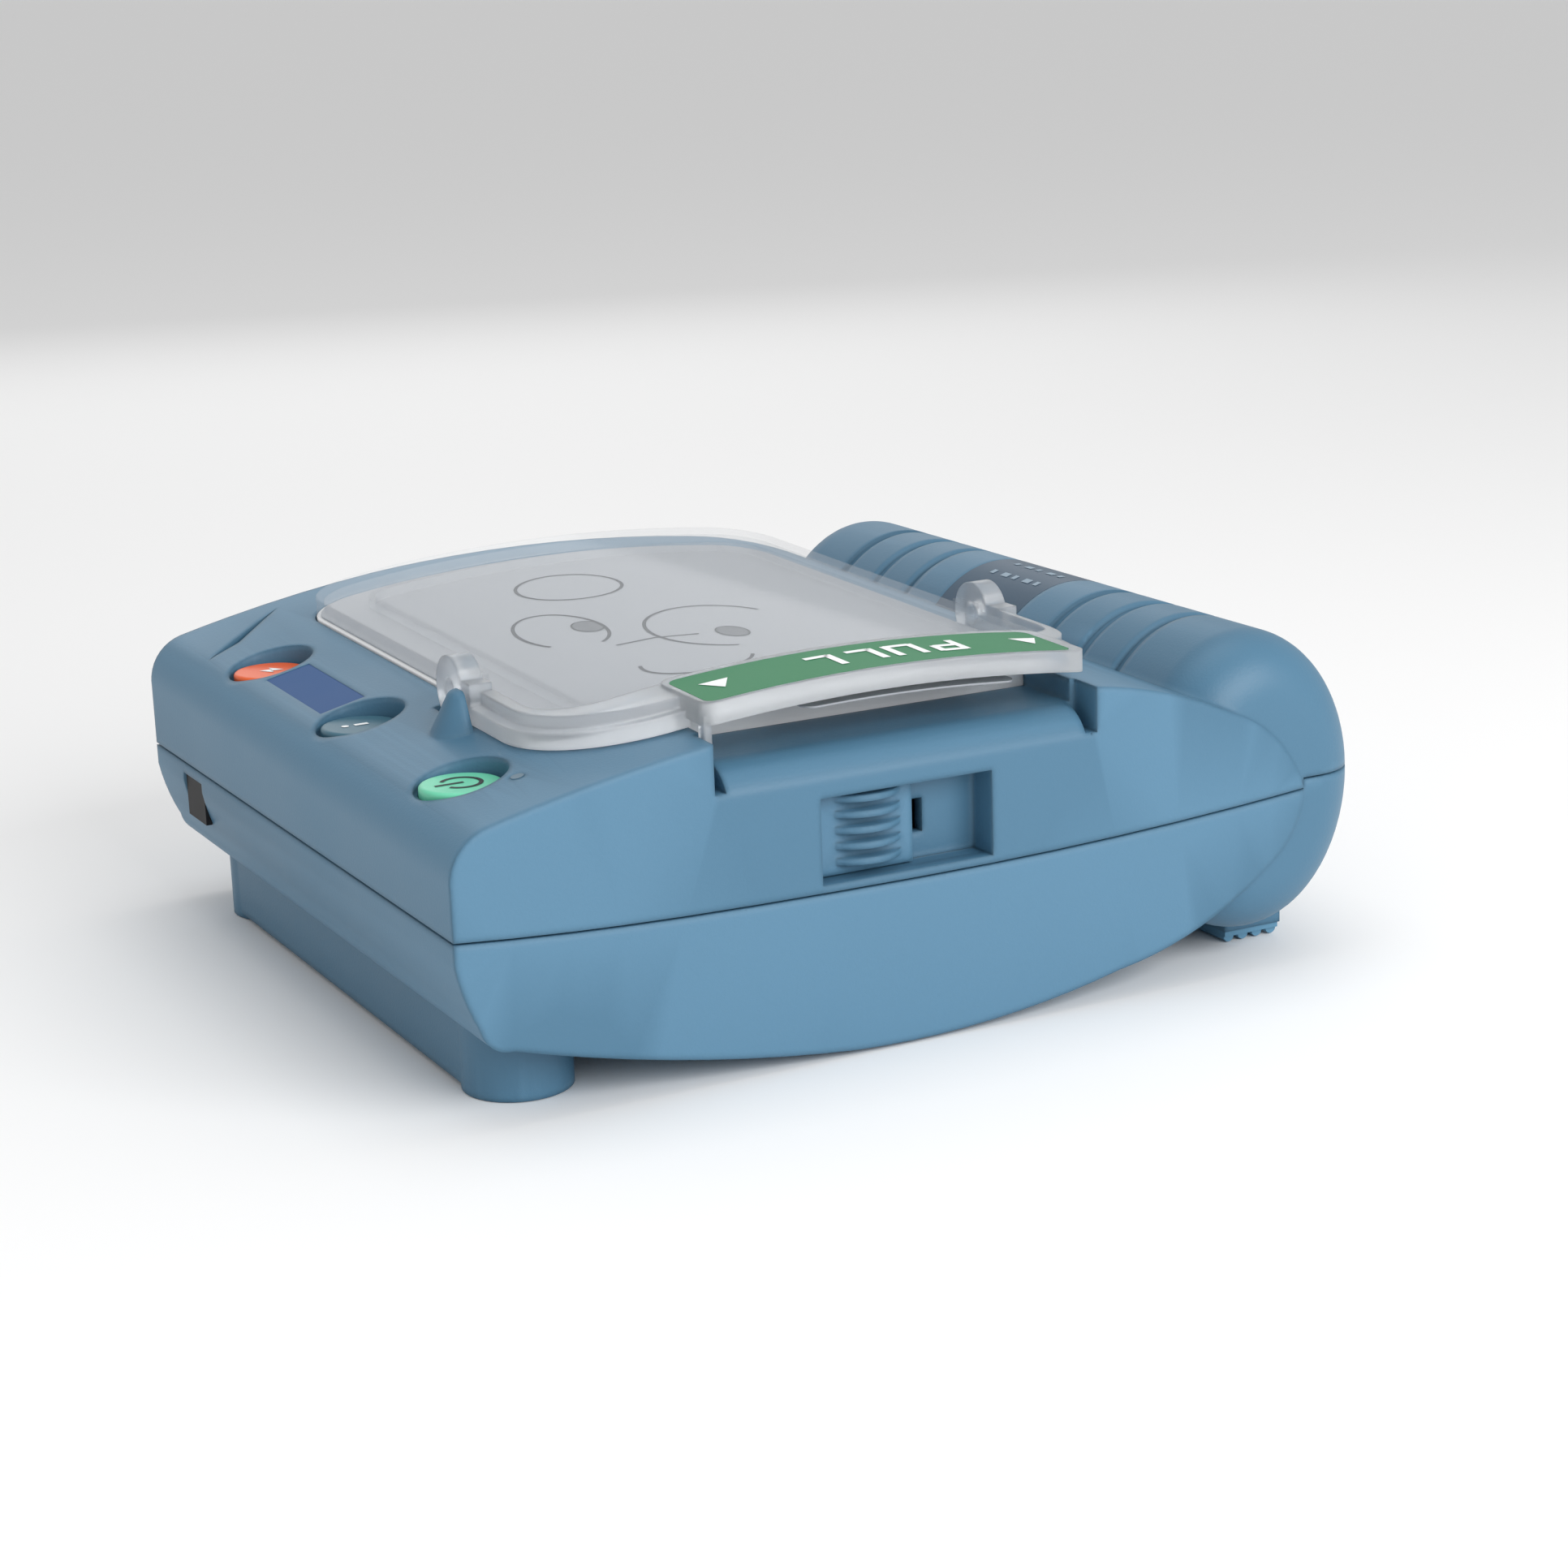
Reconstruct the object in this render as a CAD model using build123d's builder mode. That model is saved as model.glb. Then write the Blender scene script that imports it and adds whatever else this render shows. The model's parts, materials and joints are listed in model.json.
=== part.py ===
from build123d import *
import os

os.makedirs("parts", exist_ok=True)

# Portable defibrillator lying on its back.
# X runs from the carry handle (-X) to the button end (+X), Y from the user's side (-Y)
# to the pull-handle side (+Y), Z up from the floor. The origin is on the floor.

# ---- driving dimensions, mm ----
HALF_Y = 92.0  # flat side panels stand at this Y on both sides
END_X = 103.8  # vertical face at the button end
WALL = 3.0  # moulded wall thickness
NOSE = 88.3  # the side panel's rounded nose reaches this far towards -X
NOSE_Z = 38.5
PLAY = 0.4  # clearance between pieces that come apart

BARREL_X = -80.0  # axis of the carry-handle barrel
BARREL_Z = 38.5
BARREL_A = 26.0  # half axis along X
BARREL_B = 32.5  # half axis along Z
BARREL_Y = 91.4
BARREL_R = 13.0  # rounding of the barrel's ends
GRIP_PITCH = 15.4  # spacing of the grooves round the barrel
GROOVE = 2.6  # width of a groove
LABEL_HALF = 15.8

PART_END_Z = 37.4  # parting line at the button end
PART_MID_Z = 33.9  # lowest point of the parting line on the sides
PART_HANDLE_Z = 39.5

COVER_X0 = -45.5  # clear cover and cartridge in plan
COVER_X1 = 71.5
COVER_Y0 = -76.0
COVER_Y1 = 66.0
COVER_R = 12.0
WELL_Z = 50.0  # floor of the cartridge well

HINGE_Y = 28.0  # pull-handle axis, along X
HINGE_Z = 69.8
PIN_R = 2.5
EAR_R = 7.0
EAR_W = 4.8
BAIL_Y = 80.0
PULL_Y = 88.6
PULL_X0 = -37.0
PULL_X1 = 49.0
LEDGE_Z = 62.5
LEDGE_R = 9.0

BUTTON_X = 89.2
BUTTON_R = 8.3
BUTTON_LIFT = 2.1  # button top above its pocket floor
POCKET_R = 9.4
TRAVEL = 1.5
# place along Y and height of the top of each push button, nearly flush with the sloping face
BUTTONS = {"shock_button": (-47.5, 61.4), "info_button": (8.6, 60.4), "on_off_button": (63.3, 60.0)}

WIN_X0 = -11.9  # latch window in the +Y panel
WIN_X1 = 26.7
WIN_Z0 = 35.8
WIN_Z1 = 53.4
WIN_DEEP = 7.5

BATT_X0 = -44.0  # battery bay in the underside
BATT_X1 = 22.0
BATT_Y = 38.0
BATT_TOP = 27.0

FOOT_X = 83.7
FOOT_Y = 69.8
FOOT_R = 11.1

# height of the top along X at mid width; it rises a little towards the user's side
TOP_ARCS = [
    ((-89.2, 24.0), (-85.0, 46.6), (-72.0, 57.6)),
    ((-72.0, 57.6), (-54.5, 64.8), (-36.0, 68.7)),
    ((-36.0, 68.7), (6.0, 71.6), (48.0, 69.6)),
    ((48.0, 69.6), (72.0, 65.9), (96.0, 60.6)),
]
TOP = [(-72.0, 57.6), (-56.0, 64.3), (-36.0, 68.6), (10.0, 71.0), (48.0, 69.5), (96.0, 60.6)]
TOP_TILT = 1.12  # degrees, rising towards -Y

BELLY_ARCS = [
    ((93.0, 14.9), (58.7, 6.4), (20.0, 0.9)),
    ((20.0, 0.9), (-10.0, 1.2), (-42.0, 6.3)),
    ((-42.0, 6.3), (-64.0, 12.9), (-83.0, 25.4)),
    ((-83.0, 25.4), (-87.0, 31.8), (-NOSE, NOSE_Z)),
]
BELLY = [(79.0, 11.4), (50.0, 5.0), (10.0, 0.8), (-30.0, 4.2), (-62.0, 12.0), (-82.0, 25.0)]


def join(*pieces):
    """Pieces moulded together."""
    with BuildPart() as solid:
        for piece in pieces:
            add(piece)
    return solid.part


def cut(base, *tools):
    """A piece with tools taken away from it."""
    with BuildPart() as solid:
        add(base)
        for tool in tools:
            add(tool, mode=Mode.SUBTRACT)
    return solid.part


def common(base, tool):
    """What two solids share."""
    with BuildPart() as solid:
        add(base)
        add(tool, mode=Mode.INTERSECT)
    return solid.part


def side_prism():
    """Side outline of the body below its top, between the two flat panels."""
    nose = (-NOSE, NOSE_Z)
    heel = (END_X - 4.3, 20.0)
    sole = (93.0, 14.9)
    brow = (END_X + 0.6, 38.4)
    with BuildPart() as solid:
        with BuildSketch(Plane.XZ):
            with BuildLine():
                for start, middle, finish in BELLY_ARCS:
                    ThreePointArc(start, middle, finish)
                Polyline(nose, (-98.0, NOSE_Z), (-98.0, 100.0), (110.0, 100.0), (110.0, 38.4), brow)
                ThreePointArc(brow, (END_X - 1.0, 28.5), heel)
                ThreePointArc(heel, (97.8, 16.7), sole)
            make_face()
        extrude(amount=HALF_Y, both=True)
    return solid.part


def top_prism():
    """Everything below the top surface."""
    crest = TOP[-1]
    with BuildPart() as solid:
        with BuildSketch(Plane.XZ):
            with BuildLine():
                for start, middle, finish in TOP_ARCS:
                    ThreePointArc(start, middle, finish)
                ThreePointArc(crest, (END_X - 2.3, crest[1] - 3.6), (END_X, crest[1] - 11.0))
                Polyline((END_X, crest[1] - 11.0), (END_X, -60.0), (-94.0, -60.0), (-94.0, 24.0))
                Line((-94.0, 24.0), (-89.2, 24.0))
            make_face()
        extrude(amount=120.0, both=True)
    return Location((0, 0, 0), (-TOP_TILT, 0, 0)) * solid.part


SIDES = side_prism()
TOPPED = top_prism()


def body_solid(lift=0.0):
    """The lens-shaped body with its top raised by lift."""
    return common(SIDES, Location((0, 0, lift)) * TOPPED)


def hoop(y0, y1, shrink):
    """A length of the handle barrel, shrunk all round."""
    with BuildPart() as solid:
        with BuildSketch(Plane.XZ.offset(-y0)):
            with Locations((BARREL_X, BARREL_Z)):
                Ellipse(BARREL_A - shrink, BARREL_B - shrink)
        extrude(amount=y0 - y1)
    return solid.part


def land(y0, y1):
    """A raised land of the grip with softened edges."""
    with BuildPart() as solid:
        add(hoop(y0, y1, 0.0))
        fillet(solid.edges().filter_by(GeomType.ELLIPSE), radius=0.9)
    return solid.part


def barrel_end(side):
    """The rounded end of the handle, beyond the last groove."""
    inner = 4 * GRIP_PITCH + GROOVE / 2
    with BuildPart() as solid:
        add(hoop(min(side * inner, side * BARREL_Y), max(side * inner, side * BARREL_Y), 0.0))
        rim = solid.edges().filter_by(GeomType.ELLIPSE).sort_by(Axis.Y)
        fillet(rim[-1] if side > 0 else rim[0], radius=BARREL_R)
    return solid.part


def block(x0, x1, y0, y1, z0, z1):
    """A box given by its limits."""
    with BuildPart() as solid:
        with Locations(((x0 + x1) / 2, (y0 + y1) / 2, (z0 + z1) / 2)):
            Box(x1 - x0, y1 - y0, z1 - z0)
    return solid.part


def rod(x, y, z0, z1, radius):
    """An upright cylinder between two heights."""
    with BuildPart() as solid:
        with Locations((x, y, (z0 + z1) / 2)):
            Cylinder(radius, z1 - z0)
    return solid.part


def rod_x(x0, x1, y, z, radius):
    """A cylinder along X."""
    with BuildPart() as solid:
        with Locations(Location(((x0 + x1) / 2, y, z), (0, 90, 0))):
            Cylinder(radius, x1 - x0)
    return solid.part


def rod_y(x, y0, y1, z, radius):
    """A cylinder along Y."""
    with BuildPart() as solid:
        with Locations(Location((x, (y0 + y1) / 2, z), (90, 0, 0))):
            Cylinder(radius, y1 - y0)
    return solid.part


def plate(x0, x1, y0, y1, radius, z0, z1):
    """An upright prism with rounded corners in plan."""
    with BuildPart() as solid:
        with BuildSketch(Plane.XY.offset(z0)):
            with Locations(((x0 + x1) / 2, (y0 + y1) / 2)):
                RectangleRounded(x1 - x0, y1 - y0, radius)
        extrude(amount=z1 - z0)
    return solid.part


def cover_prism(grow, z0=WELL_Z - 6.0, z1=92.0):
    """The cover's outline in plan, grown or shrunk all round."""
    return plate(
        COVER_X0 - grow, COVER_X1 + grow, COVER_Y0 - grow, COVER_Y1 + grow, COVER_R + grow, z0, z1
    )


def keep(name, solid):
    """Label a finished piece and write its file."""
    with BuildPart() as piece:
        add(solid)
    piece.part.label = name
    export_step(piece.part, "parts/" + name + ".step")
    print(name, len(piece.part.solids()), round(piece.part.volume))


CROWN_BODY = body_solid()
RISEN = {}


def under(lift):
    """The body with its top raised, kept because several pieces share a height."""
    if lift not in RISEN:
        RISEN[lift] = body_solid(lift)
    return RISEN[lift]


def slab(low, high, prism):
    """The part of a prism that lies between two heights above the crowned top."""
    return cut(common(prism, under(high)), under(low))



# ---- outer skin: side panels, and the handle barrel with grooves each side of its label ----
lands = [barrel_end(-1), barrel_end(1), hoop(-70.0, 70.0, 1.1)]
for side in (-1, 1):
    for step in (2, 3):
        y0 = step * GRIP_PITCH + GROOVE / 2
        y1 = (step + 1) * GRIP_PITCH - GROOVE / 2
        lands.append(land(min(side * y0, side * y1), max(side * y0, side * y1)))
    y0 = LABEL_HALF
    y1 = 2 * GRIP_PITCH - GROOVE / 2
    lands.append(hoop(min(side * y0, side * y1), max(side * y0, side * y1), 0.0))
lands.append(hoop(-LABEL_HALF, LABEL_HALF, 0.6))
barrel = join(*lands)
label_zone = block(-110, -60, -LABEL_HALF + 0.1, LABEL_HALF - 0.1, 44, 90)
label_ring = cut(hoop(-LABEL_HALF + 0.1, LABEL_HALF - 0.1, 0.0), hoop(-20.0, 20.0, 0.58))
label_solid = cut(common(label_ring, label_zone), under(0.05))

# ---- openings in the body, cut before the rest is joined on ----
skin = CROWN_BODY
ledge_x = (PULL_X0 + 1.5, PULL_X1 - 1.0)
with BuildPart() as ledge_cut:
    with BuildSketch(Plane.YZ.offset(ledge_x[0])):
        with BuildLine():
            lip = (HALF_Y - LEDGE_R, LEDGE_Z)
            foot = (HALF_Y + 0.8, LEDGE_Z - LEDGE_R)
            ThreePointArc(lip, (HALF_Y - 0.22 * LEDGE_R, LEDGE_Z - 0.3 * LEDGE_R), foot)
            Polyline(foot, (98, foot[1]), (98, 90), (COVER_Y1 - 1, 90), (COVER_Y1 - 1, LEDGE_Z), lip)
        make_face()
    extrude(amount=ledge_x[1] - ledge_x[0])
skin = cut(skin, ledge_cut.part)
for x in ledge_x:
    skin = cut(skin, block(x - 1.3, x + 1.3, 83.8, 95.0, LEDGE_Z - 5.0, 90.0))

well = plate(
    COVER_X0 - PLAY, COVER_X1 + PLAY, COVER_Y0 - PLAY, COVER_Y1 + PLAY, COVER_R + PLAY, WELL_Z, 92.0
)
ear_spans = ((COVER_X1 + 0.5, COVER_X1 + 0.5 + EAR_W), (COVER_X0 - 0.5 - EAR_W, COVER_X0 - 0.5))
for x0, x1 in ear_spans:
    ear_pit = block(x0 - 0.6, x1 + 0.6, HINGE_Y - 8.2, HINGE_Y + 12.0, HINGE_Z - 8.2, 92.0)
    well = join(well, ear_pit)
window = block(WIN_X0, WIN_X1, HALF_Y - WIN_DEEP, 95.0, WIN_Z0, WIN_Z1)
stem_slot = block(0.0, 21.0, HALF_Y - 12.0, 90.0, 41.0, 48.0)
skin = cut(skin, well, window, stem_slot)
for y, top in BUTTONS.values():
    floor = top - BUTTON_LIFT
    skin = cut(skin, rod(BUTTON_X, y, floor, 80.0, POCKET_R))
    skin = cut(skin, rod(BUTTON_X, y, 40.0, 80.0, BUTTON_R + 0.15))
    skin = cut(skin, rod(BUTTON_X, y, 40.0, floor - 2.4, 10.7))

# infra-red window pocket in the end face, caution scoop and lamp seat in the top
ir_pocket = block(END_X - 2.0, END_X + 2.0, -72.0, -59.0, 25.0, 35.0)
skin = cut(skin, ir_pocket)
with BuildPart() as wedge:
    with BuildSketch(Plane.XY.offset(50.0)):
        with BuildLine():
            Polyline((97.5, -66.0), (74.0, -86.0), (89.0, -70.0), (97.5, -66.0))
        make_face()
    extrude(amount=30.0)
caution_solid = slab(-2.4, -1.2, wedge.part)
strip_prism = block(84.0, 94.0, -36.8, -2.2, 50.0, 80.0)
strip_solid = slab(-0.6, -0.1, strip_prism)
lamp_solid = slab(-2.0, 0.1, rod(82.0, 74.0, 50.0, 70.0, 1.3))
skin = cut(skin, cut(wedge.part, under(-2.4)), cut(strip_prism, under(-0.6)), lamp_solid)

# ---- battery bay ----
bay = block(BATT_X0, BATT_X1, -BATT_Y, BATT_Y, -5.0, BATT_TOP)
skin = cut(skin, bay)

# ---- handle, feet and cheek joined on ----
skin = join(skin, barrel)
# foot rail across the button end, and the ribbed foot block below the handle
for side in (-1, 1):
    skin = join(skin, rod(FOOT_X, side * FOOT_Y, 0.0, 20.0, FOOT_R))
skin = join(skin, block(79.0, 94.5, -FOOT_Y, FOOT_Y, 1.2, 18.0))
skin = join(skin, block(-95.5, -81.0, -74.0, 74.0, 2.6, 20.0))

# cheek that guards the pull handle's pivot
with BuildPart() as cheek:
    with Locations((77.2, 36.0, 55.0)):
        Cone(11.0, 2.6, 16.5, align=(Align.CENTER, Align.CENTER, Align.MIN))
        fillet(cheek.edges().sort_by(Axis.Z)[-1], radius=1.8)
    add(block(60.0, 77.8, 20.0, 52.0, 50.0, 80.0), mode=Mode.SUBTRACT)
skin = join(skin, cheek.part)

# ---- hollow inside ----
with BuildPart() as room:
    with BuildSketch(Plane.XZ):
        with BuildLine():
            roof = [(x, z - WALL - 2.4) for x, z in TOP[:-1]]
            keel = [(x, z + WALL + 0.6) for x, z in BELLY]
            end = END_X - WALL - 0.6
            Polyline(*keel, (-82.0, 40.0), *roof, (end, 50.0), (end, 30.0), (end - 5, 20.0), keel[0])
        make_face()
    extrude(amount=HALF_Y - WALL, both=True)
hollow = join(room.part, hoop(-BARREL_Y + 8.0, BARREL_Y - 8.0, 4.2))
solid_zones = [
    block(COVER_X0 - 8.0, COVER_X1 + 9.0, COVER_Y0 - 4.0, 95.0, WELL_Z - 2.4, 95.0),
    block(WIN_X0 - 4.0, WIN_X1 + 4.0, HALF_Y - WIN_DEEP - 3.0, 95.0, WIN_Z0 - 0.6, 60.0),
    block(BATT_X0 - 2.4, BATT_X1 + 2.4, -BATT_Y - 2.4, BATT_Y + 2.4, -5.0, BATT_TOP + 2.4),
    block(END_X - 5.0, 110.0, -75.0, -56.0, 22.0, 38.0),
]
for y, top in BUTTONS.values():
    solid_zones.append(rod(BUTTON_X, y, 46.0, 80.0, 12.4))
solid_zones.append(block(72.0, 100.0, -90.0, -60.0, 57.0, 80.0))
hollow = cut(hollow, *solid_zones)
case = cut(skin, hollow)

# ---- parting surface, bowed along the sides and higher on the handle ----
with BuildPart() as lower_half:
    with BuildSketch(Plane.XZ):
        with BuildLine():
            joint = Spline(
                (-88.6, PART_HANDLE_Z - 2.0), (-66.0, 35.8), (-20.0, 33.9), (27.0, PART_MID_Z),
                (60.0, 34.6), (106.0, PART_END_Z + 0.2),
            )
            Polyline(
                joint @ 1, (110, PART_END_Z + 0.2), (110, -10), (-120, -10), (-120, PART_HANDLE_Z),
                (-88.6, PART_HANDLE_Z), joint @ 0,
            )
        make_face()
    extrude(amount=120, both=True)
seam_gap = Location((0, 0, 0.5)) * lower_half.part
lower_case = common(case, lower_half.part)
upper_case = cut(case, seam_gap)
keep("lower_shell", lower_case)
keep("upper_shell", upper_case)
keep("handle_label", label_solid)

# ---- trims set into the shell ----
keep("caution_lens", caution_solid)
keep("status_strip", strip_solid)
keep("ready_light", lamp_solid)
keep("ir_window", block(END_X - 1.9, END_X - 0.5, -71.8, -59.2, 25.2, 34.8))
pad_ribs = [rod_y(-93.8 + 3.7 * i, -73.0, 73.0, 1.3, 1.3) for i in range(4)]
keep("rear_foot_pad", join(block(-95.2, -81.3, -73.6, 73.6, 1.4, 2.6), *pad_ribs))

# ---- lower shell furniture ----
board = block(32.0, 94.0, -76.0, 76.0, 24.0, 25.6)
keep("main_board", board)
keep("capacitor", rod_y(BARREL_X, -55.0, 55.0, BARREL_Z, 19.0))
keep("inductor", plate(50.0, 72.0, -60.0, -38.0, 4.0, 25.7, 43.0))
keep("relay_block", plate(50.0, 74.0, -10.0, 18.0, 2.0, 25.7, 41.0))
keep("speaker", rod(60.0, 52.0, 25.7, 36.0, 17.0))
keep("cartridge_connector", block(-52.0, -46.6, -50.0, -30.0, 34.0, 47.4))
keep("battery_terminals", block(-20.0, 4.0, -10.0, 10.0, BATT_TOP + 2.5, BATT_TOP + 6.0))

# ---- latch on the +Y panel ----
slide_x0 = 4.0
slide_x1 = WIN_X1 - PLAY
slide_y = HALF_Y - WIN_DEEP + PLAY
slider = [
    block(slide_x0, slide_x1, slide_y, slide_y + 2.6, WIN_Z0 + PLAY, WIN_Z1 - PLAY),
    block(9.0, 19.0, HALF_Y - 12.5, slide_y + 1.0, 41.5, 47.5),
    block(7.0, 21.0, HALF_Y - 14.0, HALF_Y - 12.4, 39.0, 47.0),
]
for i in range(5):
    z = WIN_Z0 + 2.4 + i * 3.2
    slider.append(rod(14.0, 81.4, z, z + 1.3, 9.6))
thumb_zone = block(slide_x0 + 1.5, slide_x1 - 1.0, slide_y + 0.5, HALF_Y - 1.0, 30.0, 60.0)
grips = [common(rib, thumb_zone) for rib in slider[3:]]
keep("latch_slider", join(*slider[:3], *grips))

# ---- push buttons, each with a retaining flange, a spring and a switch ----
for name, (y, top) in BUTTONS.items():
    floor = top - BUTTON_LIFT
    cap = rod(BUTTON_X, y, floor - 5.6, top, BUTTON_R)
    flange = rod(BUTTON_X, y, floor - 5.6, floor - 2.8, 9.9)
    stem = rod(BUTTON_X, y, 33.6, floor - 5.0, 2.0)
    with BuildPart() as dome:
        add(cap)
        fillet(dome.edges().sort_by(Axis.Z)[-1], radius=0.8)
    keep(name, join(dome.part, flange, stem))
    short = name.split("_")[0]
    with BuildPart() as coil:
        with BuildSketch(Plane.XY.offset(31.0)):
            with Locations((BUTTON_X, y)):
                Circle(5.0)
                Circle(4.2, mode=Mode.SUBTRACT)
        extrude(amount=floor - 5.7 - 31.0)
    keep(short + "_spring", coil.part)
    keep(short + "_switch", block(BUTTON_X - 6, BUTTON_X + 6, y - 6, y + 6, 25.7, 31.0))

# ---- pads cartridge ----
tray_outer = plate(COVER_X0, COVER_X1, COVER_Y0, COVER_Y1, COVER_R, WELL_Z + PLAY, 92.0)
tray_inner = plate(
    COVER_X0 + 3, COVER_X1 - 3, COVER_Y0 + 3, COVER_Y1 - 3, COVER_R - 3, WELL_Z + PLAY + 1.8, 95.0
)
keep("cartridge_tray", cut(common(tray_outer, body_solid(0.2)), tray_inner))
pad_x = (COVER_X0 + 6.0, COVER_X1 - 6.0)
keep("lower_pad", plate(*pad_x, -70.0, -8.0, 10.0, WELL_Z + 2.4, WELL_Z + 5.0))
keep("upper_pad", plate(*pad_x, -4.0, 60.0, 10.0, WELL_Z + 2.4, WELL_Z + 5.0))
film_plan = plate(COVER_X0 + 1, COVER_X1 - 1, COVER_Y0 + 1, COVER_Y1 - 1, COVER_R - 1, 50.0, 92.0)
tongue_plan = plate(-22.0, 26.0, COVER_Y1 - 8.0, 86.0, 3.0, 50.0, 92.0)
keep("film_seal", slab(0.25, 0.6, join(film_plan, tongue_plan)))

# ---- hard clear cover with a raised frame inside its roof and the hinge pins ----
cover_plan = plate(COVER_X0, COVER_X1, COVER_Y0, COVER_Y1, COVER_R, 50.0, 92.0)
inner_plan = plate(
    COVER_X0 + 1.8, COVER_X1 - 1.8, COVER_Y0 + 1.8, COVER_Y1 - 1.8, COVER_R - 1.8, 50.0, 92.0
)
frame_out = plate(COVER_X0 + 8, COVER_X1 - 10, COVER_Y0 + 12, COVER_Y1 - 5, 7.0, 50.0, 92.0)
frame_in = plate(COVER_X0 + 9.4, COVER_X1 - 11.4, COVER_Y0 + 13.4, COVER_Y1 - 6.4, 5.6, 50.0, 92.0)
roof = cut(common(cover_plan, under(4.8)), common(inner_plan, under(3.4)), under(1.0))
cover_rib = slab(1.2, 3.6, cut(frame_out, frame_in))
pins = [
    rod_x(COVER_X1 - 0.3, ear_spans[0][1] - 0.2, HINGE_Y, HINGE_Z, PIN_R),
    rod_x(ear_spans[1][0] + 0.2, COVER_X0 + 0.3, HINGE_Y, HINGE_Z, PIN_R),
]
bosses = [
    block(COVER_X1 - 1.8, COVER_X1, HINGE_Y - 4, HINGE_Y + 4, HINGE_Z - 3, HINGE_Z + 3),
    block(COVER_X0, COVER_X0 + 1.8, HINGE_Y - 4, HINGE_Y + 4, HINGE_Z - 3, HINGE_Z + 3),
]
keep("hard_cover", join(roof, cover_rib, *pins, *[cut(boss, under(1.0)) for boss in bosses]))

# ---- pull handle: two ears on the pins, arms round the near corners, a bar along the ledge ----
bail_x0 = ear_spans[1][0]
bail_x1 = ear_spans[0][1]


def bail_ring(shrink):
    """The handle's U in plan, with its outer side shrunk."""
    outer = plate(bail_x0 + shrink, bail_x1 - shrink, -40.0, BAIL_Y - shrink, 26.0 - shrink, 50.0, 92.0)
    inner = plate(
        COVER_X0 - 0.5, COVER_X1 + 0.5, -41.0, COVER_Y1 + 1.2, COVER_R + 1.0, 50.0, 92.0
    )
    behind = block(-70.0, 90.0, -50.0, HINGE_Y, 40.0, 95.0)
    return cut(outer, inner, behind)


low_ring = slab(0.45, 3.8, bail_ring(0.0))
ledge_gap = block(PULL_X0 + 1.0, PULL_X1 - 1.0, 70.0, 95.0, 50.0, 92.0)
high_ring = slab(0.45, 6.2, bail_ring(2.4))
bar_plan = plate(PULL_X0, PULL_X1, COVER_Y1 + 1.2, PULL_Y, 3.0, 50.0, 92.0)
bar = slab(2.4, 6.9, bar_plan)
hook = block(PULL_X1 - 1.8, PULL_X1 - 0.2, 84.8, 87.4, LEDGE_Z - 2.0, 72.0)
tongue_gap = common(block(-24.0, 28.0, 60.0, 72.0, 50.0, 92.0), under(1.1))
ears = []
for x0, x1 in ear_spans:
    ears.append(rod_x(x0, x1, HINGE_Y, HINGE_Z, EAR_R))
    ears.append(block(x0, x1, HINGE_Y, HINGE_Y + 11.0, HINGE_Z - 2.4, HINGE_Z + 3.0))
bail = join(cut(low_ring, ledge_gap), cut(high_ring, ledge_gap), bar, hook, *ears)
pin_bore = rod_x(-70.0, 90.0, HINGE_Y, HINGE_Z, PIN_R + 0.06)
label_pocket = slab(6.5, 7.5, plate(PULL_X0 + 3, PULL_X1 - 1, COVER_Y1 + 3, PULL_Y - 0.6, 2.4, 50, 92))
keep("pull_handle", cut(bail, pin_bore, label_pocket, tongue_gap))
label_plan = plate(PULL_X0 + 3.1, PULL_X1 - 1.1, COVER_Y1 + 3.1, PULL_Y - 0.7, 2.3, 50, 92)
keep("pull_label", slab(6.52, 6.9, label_plan))

# ---- battery in the underside ----
batt_plan = block(
    BATT_X0 + PLAY, BATT_X1 - PLAY, -BATT_Y + PLAY, BATT_Y - PLAY, -5.0, BATT_TOP - PLAY
)
battery = common(batt_plan, Location((0, 0, 0.25)) * SIDES)
cells_room = block(BATT_X0 + 4, BATT_X1 - 4, -BATT_Y + 4, BATT_Y - 4, 7.6, BATT_TOP - 3)
keep("battery_case", cut(battery, cells_room))
cells = []
for i in range(3):
    for y0 in (-33.5, 0.3):
        cells.append(rod_y(-30.0 + i * 19.0, y0, y0 + 33.2, 15.9, 7.9))
keep("battery_cells", Compound(children=cells))
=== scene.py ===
import json
import math

import bpy
from mathutils import Matrix, Vector
from mathutils.bvhtree import BVHTree


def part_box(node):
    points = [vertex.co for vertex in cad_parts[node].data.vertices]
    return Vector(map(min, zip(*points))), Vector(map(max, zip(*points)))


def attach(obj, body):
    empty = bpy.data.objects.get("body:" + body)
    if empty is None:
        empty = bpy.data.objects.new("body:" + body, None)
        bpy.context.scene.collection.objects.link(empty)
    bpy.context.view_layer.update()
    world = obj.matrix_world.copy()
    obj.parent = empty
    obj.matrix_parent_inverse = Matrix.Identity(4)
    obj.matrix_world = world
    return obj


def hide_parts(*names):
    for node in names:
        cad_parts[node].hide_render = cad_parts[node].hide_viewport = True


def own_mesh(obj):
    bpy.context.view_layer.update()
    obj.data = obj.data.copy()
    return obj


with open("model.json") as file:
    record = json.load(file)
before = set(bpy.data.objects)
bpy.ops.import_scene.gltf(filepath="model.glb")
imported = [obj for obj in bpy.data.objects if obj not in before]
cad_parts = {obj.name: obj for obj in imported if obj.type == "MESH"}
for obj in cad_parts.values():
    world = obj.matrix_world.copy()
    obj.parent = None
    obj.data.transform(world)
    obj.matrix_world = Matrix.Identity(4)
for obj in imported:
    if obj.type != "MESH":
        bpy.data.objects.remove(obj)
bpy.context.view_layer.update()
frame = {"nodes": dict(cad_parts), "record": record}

scene = bpy.context.scene
nodes = frame["nodes"]
MM = 0.001
SHARP_ANGLE = math.radians(28)
PAINT_LIFT = 0.00006  # how far printed marks stand off the surface, in metres
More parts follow.
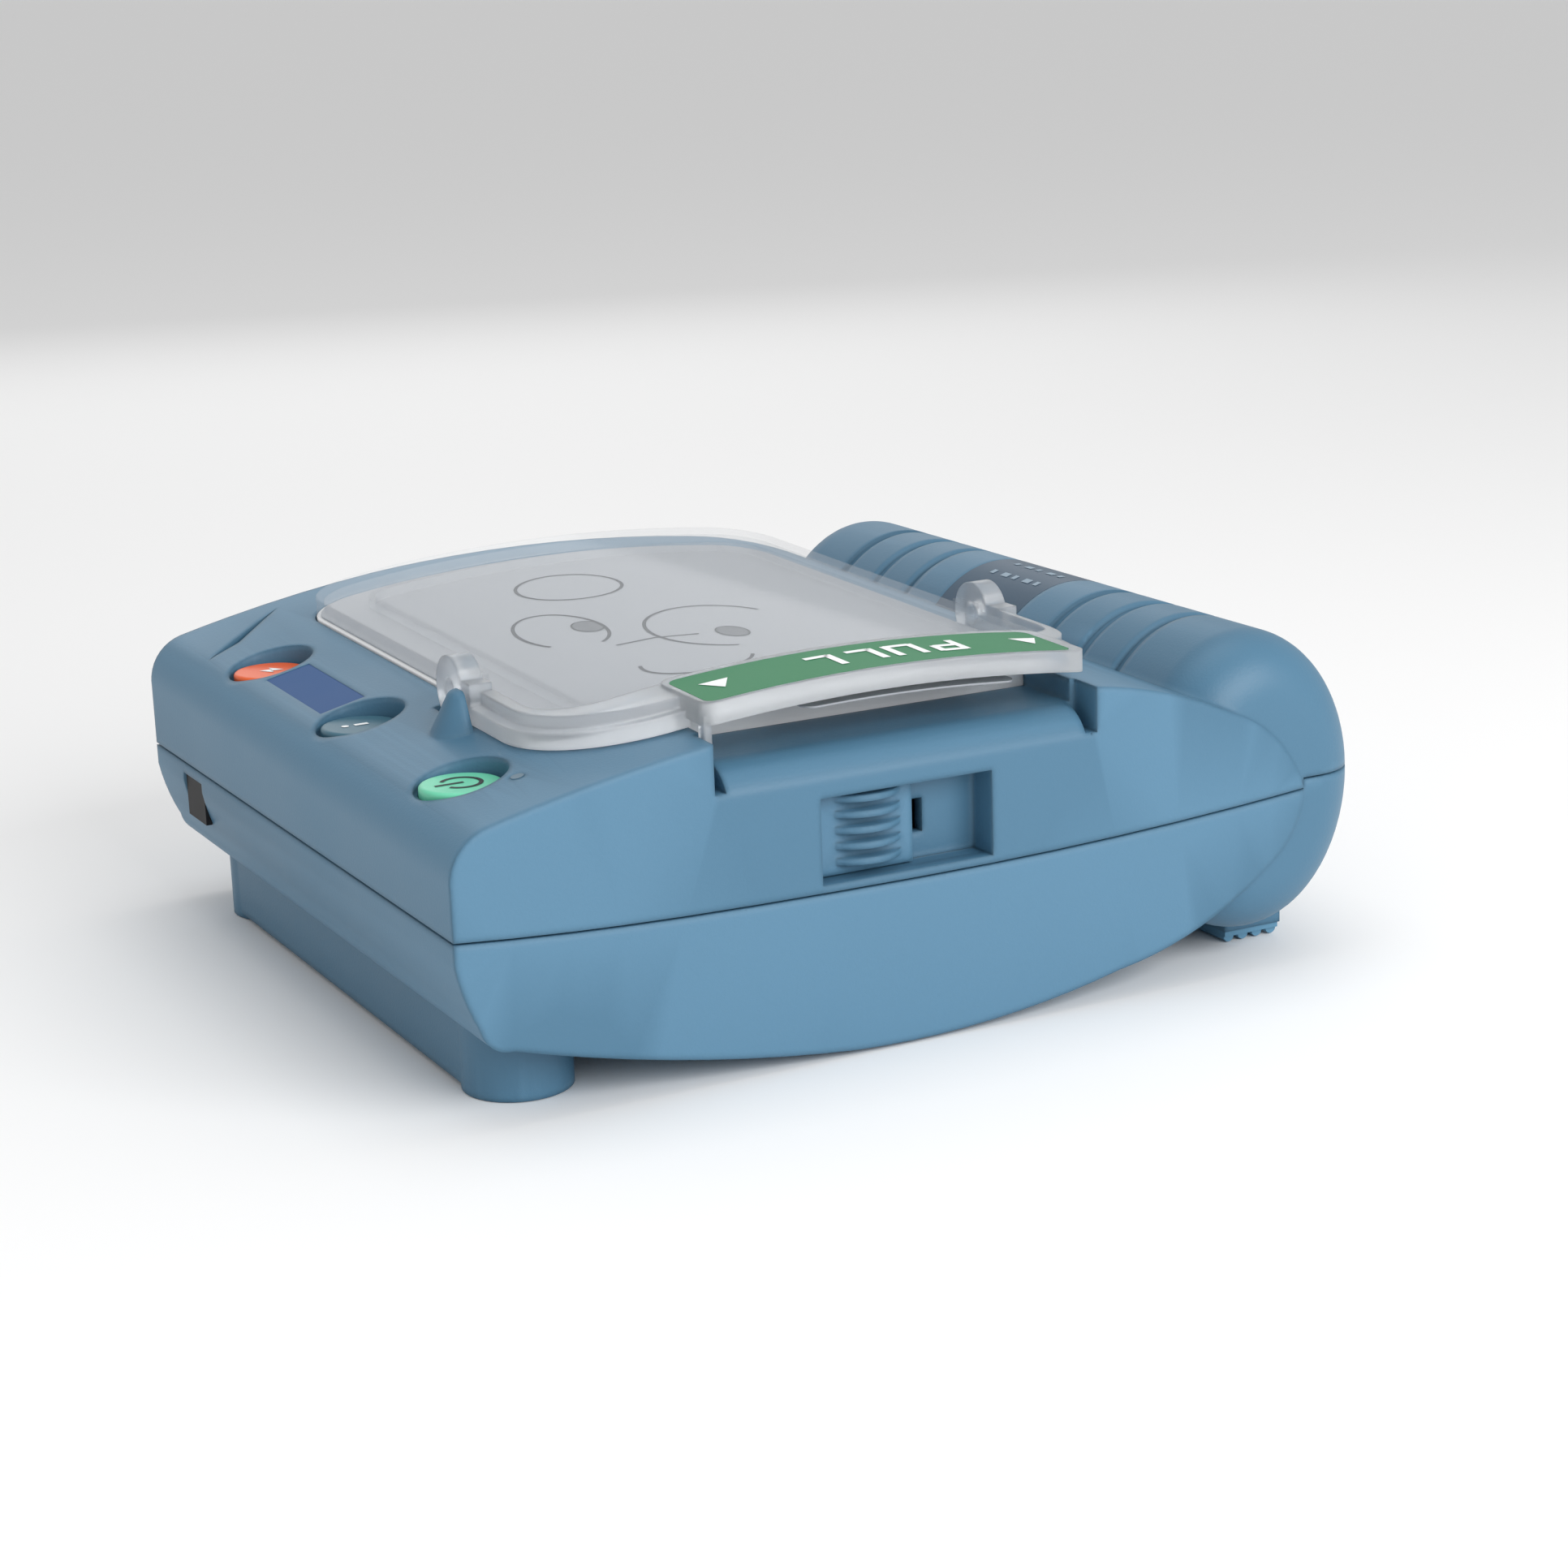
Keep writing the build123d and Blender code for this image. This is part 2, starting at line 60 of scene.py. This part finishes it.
PAD_LIFT = 0.00004
OUTLINE_LIFT = 0.00008
MARK_LIFT = 0.0001
ABOVE = 0.2  # height from which marks are dropped on to a surface


# ---------- materials ----------
def material(name, colour, rough=0.5, metal=0.0, alpha=1.0, transmission=0.0, ior=1.46, grain=0.0,
             grain_scale=1800.0, edge_highlight=0.0, mottle=0.0, coat=0.0, rough_span=0.08, bevel=0.0):
    m = bpy.data.materials.new(name)
    m.use_nodes = True
    nt = m.node_tree
    p = nt.nodes["Principled BSDF"]
    coords = nt.nodes.new("ShaderNodeTexCoord")
    cloud = nt.nodes.new("ShaderNodeTexNoise")
    cloud.inputs["Scale"].default_value = 22.0
    cloud.inputs["Detail"].default_value = 5.0
    nt.links.new(coords.outputs["Object"], cloud.inputs["Vector"])
    mix = nt.nodes.new("ShaderNodeMix")
    mix.data_type = "RGBA"
    mix.inputs["A"].default_value = (*[c * (1.0 - mottle) for c in colour], 1.0)
    mix.inputs["B"].default_value = (*[min(1.0, c * (1.0 + mottle)) for c in colour], 1.0)
    nt.links.new(cloud.outputs["Fac"], mix.inputs["Factor"])
    last = mix.outputs["Result"]
    # painted highlight: convex edges, found by Pointiness, get a lighter colour that stands in for light
    # caught on the edges
    if edge_highlight > 0:
        geo = nt.nodes.new("ShaderNodeNewGeometry")
        ramp = nt.nodes.new("ShaderNodeValToRGB")
        ramp.color_ramp.elements[0].position = 0.53
        ramp.color_ramp.elements[1].position = 0.62
        edge = nt.nodes.new("ShaderNodeMix")
        edge.data_type = "RGBA"
        edge.inputs["B"].default_value = (*[min(1.0, c * 1.5 + 0.03) for c in colour], 1.0)
        scale = nt.nodes.new("ShaderNodeMath")
        scale.operation = "MULTIPLY"
        scale.inputs[1].default_value = edge_highlight
        nt.links.new(geo.outputs["Pointiness"], ramp.inputs["Fac"])
        nt.links.new(ramp.outputs["Color"], scale.inputs[0])
        nt.links.new(scale.outputs["Value"], edge.inputs["Factor"])
        nt.links.new(last, edge.inputs["A"])
        last = edge.outputs["Result"]
    nt.links.new(last, p.inputs["Base Color"])
    span = nt.nodes.new("ShaderNodeMapRange")
    span.inputs["To Min"].default_value = max(0.02, rough - rough_span)
    span.inputs["To Max"].default_value = min(1.0, rough + rough_span)
    nt.links.new(cloud.outputs["Fac"], span.inputs["Value"])
    nt.links.new(span.outputs["Result"], p.inputs["Roughness"])
    normal = None
    if bevel > 0:
        round_edge = nt.nodes.new("ShaderNodeBevel")
        round_edge.samples = 6
        round_edge.inputs["Radius"].default_value = bevel
        normal = round_edge.outputs["Normal"]
    if grain > 0:
        fine = nt.nodes.new("ShaderNodeTexNoise")
        fine.inputs["Scale"].default_value = grain_scale
        fine.inputs["Detail"].default_value = 2.0
        nt.links.new(coords.outputs["Object"], fine.inputs["Vector"])
        bump = nt.nodes.new("ShaderNodeBump")
        bump.inputs["Strength"].default_value = grain
        bump.inputs["Distance"].default_value = 0.0002
        nt.links.new(fine.outputs["Fac"], bump.inputs["Height"])
        if normal is not None:
            nt.links.new(normal, bump.inputs["Normal"])
        normal = bump.outputs["Normal"]
    if normal is not None:
        nt.links.new(normal, p.inputs["Normal"])
    p.inputs["Metallic"].default_value = metal
    p.inputs["Alpha"].default_value = alpha
    p.inputs["Transmission Weight"].default_value = transmission
    p.inputs["IOR"].default_value = ior
    p.inputs["Coat Weight"].default_value = coat
    return m


def clear_plastic():
    """Clear moulded plastic: see-through face on, brighter and greyer at a glancing angle, where the rising
    opacity paints a sheen.
    """
    m = material("clear", (0.50, 0.55, 0.60), 0.06, grain=0.03, grain_scale=90.0, rough_span=0.03,
                 bevel=0.0008)
    nt = m.node_tree
    # painted sheen: the grey colour becomes more opaque toward glancing angles
    glancing_sheen = nt.nodes.new("ShaderNodeLayerWeight")
    glancing_sheen.inputs["Blend"].default_value = 0.35
    span = nt.nodes.new("ShaderNodeMapRange")
    span.inputs["To Min"].default_value = 0.05
    span.inputs["To Max"].default_value = 0.22
    nt.links.new(glancing_sheen.outputs["Facing"], span.inputs["Value"])
    nt.links.new(span.outputs["Result"], nt.nodes["Principled BSDF"].inputs["Alpha"])
    return m


MATS = {
    # shell plastic is lightened on its convex edges as a painted highlight
    "shell_plastic": material("shell", (0.064, 0.165, 0.258), 0.45, grain=0.22, mottle=0.05, edge_highlight=0.35,
                              bevel=0.0022),
    "foot_rubber": material("foot", (0.10, 0.24, 0.36), 0.75, grain=0.3, mottle=0.08),
    "navy_label": material("navy", (0.022, 0.065, 0.115), 0.42, grain=0.05, mottle=0.06),
    "smoke_lens": material("smoke", (0.045, 0.12, 0.18), 0.3, grain=0.04),
    "blue_label": material("strip", (0.012, 0.075, 0.230), 0.6, grain=0.05, mottle=0.05),
    "black_window": material("window", (0.003, 0.003, 0.004), 0.6, grain=0.02),
    "circuit_board": material("board", (0.01, 0.16, 0.05), 0.4, grain=0.2, mottle=0.2),
    "capacitor_can": material("can", (0.7, 0.7, 0.72), 0.3, metal=1.0, grain=0.1),
    "black_plastic": material("black", (0.02, 0.02, 0.022), 0.5, grain=0.2, mottle=0.2),
    "contact_metal": material("contact", (0.72, 0.55, 0.28), 0.25, metal=1.0, grain=0.1),
    "spring_steel": material("spring", (0.6, 0.6, 0.62), 0.3, metal=1.0, grain=0.1),
    "orange_plastic": material("orange", (0.80, 0.120, 0.022), 0.38, grain=0.08, mottle=0.04, bevel=0.0006),
    "grey_blue_plastic": material("info", (0.050, 0.140, 0.195), 0.4, grain=0.06, bevel=0.0006),
    "mint_plastic": material("mint", (0.150, 0.620, 0.400), 0.38, grain=0.08, mottle=0.04, bevel=0.0006),
    "white_plastic": material("white", (0.80, 0.81, 0.82), 0.45, grain=0.12, mottle=0.04, bevel=0.0008),
    "pad_foam": material("foam", (0.78, 0.76, 0.70), 0.9, grain=0.5, mottle=0.05),
    "silver_film": material("film", (0.33, 0.35, 0.38), 0.38, grain=0.25, grain_scale=60.0, mottle=0.10),
    "clear_plastic": clear_plastic(),
    "frosted_plastic": material("frosted", (0.86, 0.89, 0.92), 0.32, transmission=0.82, ior=1.38, grain=0.06,
                                bevel=0.001),
    "green_label": material("green", (0.004, 0.180, 0.062), 0.5, grain=0.05, mottle=0.04),
    # battery plastic is lightened on its convex edges as a painted highlight
    "battery_plastic": material("battery", (0.45, 0.47, 0.49), 0.5, grain=0.25, mottle=0.06, edge_highlight=0.3),
    "cell_wrap": material("cell", (0.08, 0.16, 0.45), 0.3, grain=0.05),
}
for sub in frame["record"]["subparts"]:
    obj = nodes[sub["node"]]
    obj.data.materials.clear()
    obj.data.materials.append(MATS[sub["material_slot"]])
    obj.data.shade_smooth()
    obj.data.set_sharp_from_angle(angle=SHARP_ANGLE)

INK = material("ink", (0.012, 0.014, 0.018), 0.6, mottle=0.1)
INK_FILL = material("ink_fill", (0.10, 0.11, 0.12), 0.5, mottle=0.1)
WHITE_INK = material("white_ink", (0.86, 0.88, 0.88), 0.45, mottle=0.03)
PALE_INK = material("pale_ink", (0.25, 0.34, 0.42), 0.5, mottle=0.08)
BLACK_INK = material("black_ink", (0.01, 0.015, 0.015), 0.5, mottle=0.1)

# ---------- thin printed marks draped on CAD surfaces ----------
trees = {}


def tree(node):
    """The search tree of a CAD node's surface, made once."""
    if node not in trees:
        mesh = nodes[node].data
        points = [v.co.copy() for v in mesh.vertices]
        trees[node] = BVHTree.FromPolygons(points, [tuple(p.vertices) for p in mesh.polygons])
    return trees[node]


def top_at(node, x, y):
    """Height of the node's topmost surface at x, y in metres, or None beside it."""
    hit = tree(node).ray_cast(Vector((x, y, ABOVE)), Vector((0, 0, -1)))
    return hit[0].z if hit[0] is not None else None


def drape_strip(name, points, width, node, body, mat, closed=False, lift=PAINT_LIFT):
    """A thin ribbon along points (x, y in mm) lying on the top of a CAD node."""
    pts = [Vector((x * MM, y * MM)) for x, y in points]
    n = len(pts)
    verts = []
    faces = []
    for i, p in enumerate(pts):
        a = pts[(i - 1) % n] if closed or i > 0 else p
        b = pts[(i + 1) % n] if closed or i < n - 1 else p
        t = (b - a).normalized() if (b - a).length > 0 else Vector((1, 0))
        side = Vector((-t.y, t.x)) * width * MM * 0.5
        for q in (p + side, p - side):
            z = top_at(node, q.x, q.y)
            verts.append((q.x, q.y, (z if z is not None else 0.07) + lift))
    last = n if closed else n - 1
    for i in range(last):
        j = (i + 1) % n
        faces.append((2 * i, 2 * i + 1, 2 * j + 1, 2 * j))
    mesh = bpy.data.meshes.new(name)
    mesh.from_pydata(verts, [], faces)
    obj = bpy.data.objects.new(name, mesh)
    scene.collection.objects.link(obj)
    mesh.materials.append(mat)
    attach(obj, body)
    return obj


def drape_patch(name, points, node, body, mat, lift=PAINT_LIFT):
    """A thin filled shape (x, y in mm) lying on the top of a CAD node."""
    cx = sum(p[0] for p in points) / len(points)
    cy = sum(p[1] for p in points) / len(points)
    rings = 5
    verts = []
    faces = []
    n = len(points)
    for k in range(rings + 1):
        s = k / rings
        for x, y in points:
            px, py = (cx + (x - cx) * s) * MM, (cy + (y - cy) * s) * MM
            z = top_at(node, px, py)
            verts.append((px, py, (z if z is not None else 0.07) + lift))
    for k in range(rings):
        for i in range(n):
            j = (i + 1) % n
            faces.append((k * n + i, k * n + j, (k + 1) * n + j, (k + 1) * n + i))
    mesh = bpy.data.meshes.new(name)
    mesh.from_pydata(verts, [], faces)
    obj = bpy.data.objects.new(name, mesh)
    scene.collection.objects.link(obj)
    mesh.materials.append(mat)
    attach(obj, body)
    return obj


# line drawing on the film: a generic torso made of ovals, with two pad places
OVAL_STEPS = 28


def oval(cx, cy, rx, ry, start=0, end=360):
    """Points along an upright oval, in mm, between two angles in degrees."""
    sweep = [math.radians(start + (end - start) * k / OVAL_STEPS) for k in range(OVAL_STEPS + 1)]
    return [(cx + rx * math.cos(a), cy + ry * math.sin(a)) for a in sweep]


TORSO_X = 16.0
TORSO_Y = 6.0
SHOULDER_R = 12.0
PAD_RX = 3.2
PAD_RY = 5.0
PAD_PLACES = ((TORSO_X + 16.0, TORSO_Y - 9.0), (TORSO_X - 7.0, TORSO_Y + 15.0))
BODY_LINES = [
    oval(TORSO_X + 4.0, TORSO_Y - 46.0, SHOULDER_R, 13.0),
    oval(TORSO_X - 8.0, TORSO_Y + 8.0, SHOULDER_R + 4.0, 20.0, -150, 70),
    oval(TORSO_X + 22.0, TORSO_Y - 10.0, SHOULDER_R - 3.0, 16.0, -250, 40),
    oval(TORSO_X + 10.0, TORSO_Y + 32.0, SHOULDER_R, 10.0, -20, 160),
    [(TORSO_X + 18.0, TORSO_Y + 10.0), (TORSO_X + 9.0, TORSO_Y + 10.0), (TORSO_X, TORSO_Y + 13.0)],
]
for i, line in enumerate(BODY_LINES):
    drape_strip("film_line_%d" % i, line, 0.85, "film_seal", "cartridge", INK)
for i, (cx, cy) in enumerate(PAD_PLACES):
    ring = oval(cx, cy, PAD_RX, PAD_RY)[:-1]
    drape_patch("film_pad_%d" % i, ring, "film_seal", "cartridge", INK_FILL, PAD_LIFT)
    drape_strip("film_pad_edge_%d" % i, ring, 0.5, "film_seal", "cartridge", INK, True, OUTLINE_LIFT)

# pull label: triangles and the plain instruction word
for i, x in enumerate((41.0, -29.0)):
    arrow = [(x - 3.2, 76.0), (x + 3.2, 76.0), (x, 81.5)]
    drape_patch("pull_arrow_%d" % i, arrow, "pull_label", "bail", WHITE_INK, MARK_LIFT)


def letter(strokes, x0, y0, w, h, name):
    """One letter of the instruction word from straight strokes in a unit square."""
    for i, (a, b) in enumerate(strokes):
        p = (x0 + a[0] * w, y0 + a[1] * h)
        q = (x0 + b[0] * w, y0 + b[1] * h)
        mid = [(p[0] + (q[0] - p[0]) * t / 4, p[1] + (q[1] - p[1]) * t / 4) for t in range(5)]
        drape_strip("%s_%d" % (name, i), mid, 1.7, "pull_label", "bail", WHITE_INK, False, MARK_LIFT)


LETTERS = [
    [((0, 0), (0, 1)), ((0, 0.93), (0.85, 0.93)), ((0.85, 1.0), (0.85, 0.42)), ((0.85, 0.48), (0, 0.48))],
    [((0, 1), (0, 0)), ((0, 0.07), (0.9, 0.07)), ((0.9, 0), (0.9, 1))],
    [((0, 1), (0, 0)), ((0, 0.07), (0.85, 0.07))],
    [((0, 1), (0, 0)), ((0, 0.07), (0.85, 0.07))],
]
for i, strokes in enumerate(LETTERS):
    letter(strokes, -12.5 + i * 9.2, 74.2, 6.2, 8.4, "word_%d" % i)

# symbols on the buttons
KEYS = {}
for key in ("shock_button", "info_button", "on_off_button"):
    lo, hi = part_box(key)
    KEYS[key] = ((lo[0] + hi[0]) / 2 / MM, (lo[1] + hi[1]) / 2 / MM)
BOLT = [(2.6, -0.6), (0.2, 2.6), (0.5, 0.8), (-2.6, 0.9), (-0.2, -2.4), (-0.4, -0.7)]
kx, ky = KEYS["shock_button"]
bolt = [(kx + x, ky + y) for x, y in BOLT]
drape_patch("bolt_mark", bolt, "shock_button", "shock_key", WHITE_INK, MARK_LIFT)
kx, ky = KEYS["info_button"]
stem = [(kx - 1.6, ky), (kx + 1.4, ky)]
drape_strip("info_mark_stem", stem, 1.3, "info_button", "info_key", WHITE_INK, False, MARK_LIFT)
turns = [k * math.pi / 6 for k in range(12)]
dot = [(kx + 3.4 + 0.8 * math.cos(a), ky + 0.8 * math.sin(a)) for a in turns]
drape_patch("info_mark_dot", dot, "info_button", "info_key", WHITE_INK, MARK_LIFT)
kx, ky = KEYS["on_off_button"]
turns = [math.radians(35 + k * 12.08) for k in range(25)]
arc = [(kx + 3.9 * math.cos(a), ky + 3.9 * math.sin(a)) for a in turns]
drape_strip("power_mark_ring", arc, 0.9, "on_off_button", "on_off_key", BLACK_INK, False, MARK_LIFT)
bar = [(kx - 0.5, ky), (kx + 5.4, ky)]
drape_strip("power_mark_bar", bar, 0.9, "on_off_button", "on_off_key", BLACK_INK, False, MARK_LIFT)

# return springs wound as coils
COIL_TURNS = 7
COIL_STEPS = 20
WIRE_SIDES = 8
WIRE = 0.45 * MM


def coil(name, node):
    """A round-wire spring filling the CAD sleeve's box."""
    lo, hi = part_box(node)
    cx, cy = (lo.x + hi.x) / 2, (lo.y + hi.y) / 2
    ring = (hi.x - lo.x) / 2 - WIRE
    rise = hi.z - lo.z - 2 * WIRE
    count = COIL_TURNS * COIL_STEPS
    verts = []
    faces = []
    for i in range(count + 1):
        turn = 2 * math.pi * i / COIL_STEPS
        z = lo.z + WIRE + rise * i / count
        for k in range(WIRE_SIDES):
            a = 2 * math.pi * k / WIRE_SIDES
            r = ring + WIRE * math.cos(a)
            verts.append((cx + r * math.cos(turn), cy + r * math.sin(turn), z + WIRE * math.sin(a)))
    for i in range(count):
        for k in range(WIRE_SIDES):
            j = (k + 1) % WIRE_SIDES
            a, b = i * WIRE_SIDES, (i + 1) * WIRE_SIDES
            faces.append((a + k, b + k, b + j, a + j))
    faces.append(tuple(range(WIRE_SIDES)))
    faces.append(tuple(reversed(range(count * WIRE_SIDES, (count + 1) * WIRE_SIDES))))
    mesh = bpy.data.meshes.new(name)
    mesh.from_pydata(verts, [], faces)
    mesh.materials.append(MATS["spring_steel"])
    mesh.shade_smooth()
    obj = bpy.data.objects.new(name, mesh)
    scene.collection.objects.link(obj)
    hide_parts(node)
    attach(obj, "housing")
    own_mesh(obj)


coil("shock_coil", "shock_spring")
coil("info_coil", "info_spring")
coil("on_coil", "on_spring")

# pale generic marks on the handle label
for i in range(5):
    for j in range(2):
        y = -9.0 + i * 4.6
        x = -74.0 - j * 6.5
        stroke = [(x, y), (x, y + (2.8 if i % 2 else 1.6))]
        name = "label_mark_%d_%d" % (i, j)
        drape_strip(name, stroke, 1.6, "handle_label", "housing", PALE_INK, False, MARK_LIFT)

# ---------- floor, light and camera ----------
floor_mesh = bpy.data.meshes.new("floor")
FLOOR_HALF = 40
FLOOR_Z = -0.0002
corners = [(sx * FLOOR_HALF, sy * FLOOR_HALF, FLOOR_Z) for sx, sy in ((-1, -1), (1, -1), (1, 1), (-1, 1))]
floor_mesh.from_pydata(corners, [], [(0, 1, 2, 3)])
floor = bpy.data.objects.new("floor", floor_mesh)
scene.collection.objects.link(floor)
floor_mesh.materials.append(material("floor", (0.93, 0.93, 0.93), 0.9, mottle=0.0))

world = bpy.data.worlds.new("studio")
scene.world = world
world.use_nodes = True
world.node_tree.nodes["Background"].inputs["Color"].default_value = (1.0, 1.0, 1.0, 1.0)
world.node_tree.nodes["Background"].inputs["Strength"].default_value = 0.62


def area(name, place, target, size, power):
    """A soft rectangular lamp pointed at target."""
    data = bpy.data.lights.new(name, "AREA")
    data.shape = "RECTANGLE"
    data.size = size[0]
    data.size_y = size[1]
    data.energy = power
    obj = bpy.data.objects.new(name, data)
    obj.location = place
    obj.rotation_euler = (Vector(target) - Vector(place)).to_track_quat("-Z", "Y").to_euler()
    scene.collection.objects.link(obj)


area("key", (-0.25, 1.0, 0.55), (0, 0, 0.04), (0.9, 0.6), 9.5)
area("top", (0.0, -0.1, 1.2), (0, 0, 0), (0.9, 0.6), 2.6)
area("back", (-0.3, -1.1, 0.5), (0, 0, 0.06), (1.0, 0.4), 1.2)

CAMERA_PLACE = (0.30362, 0.61448, 0.21403)
CAMERA_LENS = 72.93
CAMERA_SENSOR = 36.0
yaw, pitch, roll = math.radians(207.25), math.radians(-14.9), math.radians(-1.98)
ahead = Vector((math.sin(yaw) * math.cos(pitch), math.cos(yaw) * math.cos(pitch), math.sin(pitch)))
right = ahead.cross(Vector((0, 0, 1))).normalized()
up = right.cross(ahead)
right, up = math.cos(roll) * right + math.sin(roll) * up, -math.sin(roll) * right + math.cos(roll) * up
cam_data = bpy.data.cameras.new("camera")
cam_data.lens = CAMERA_LENS
cam_data.sensor_width = CAMERA_SENSOR
camera = bpy.data.objects.new("camera", cam_data)
axes = Matrix((right, up, -ahead)).transposed()
camera.matrix_world = Matrix.Translation(CAMERA_PLACE) @ axes.to_4x4()
scene.collection.objects.link(camera)
scene.camera = camera
scene.view_settings.view_transform = "Standard"
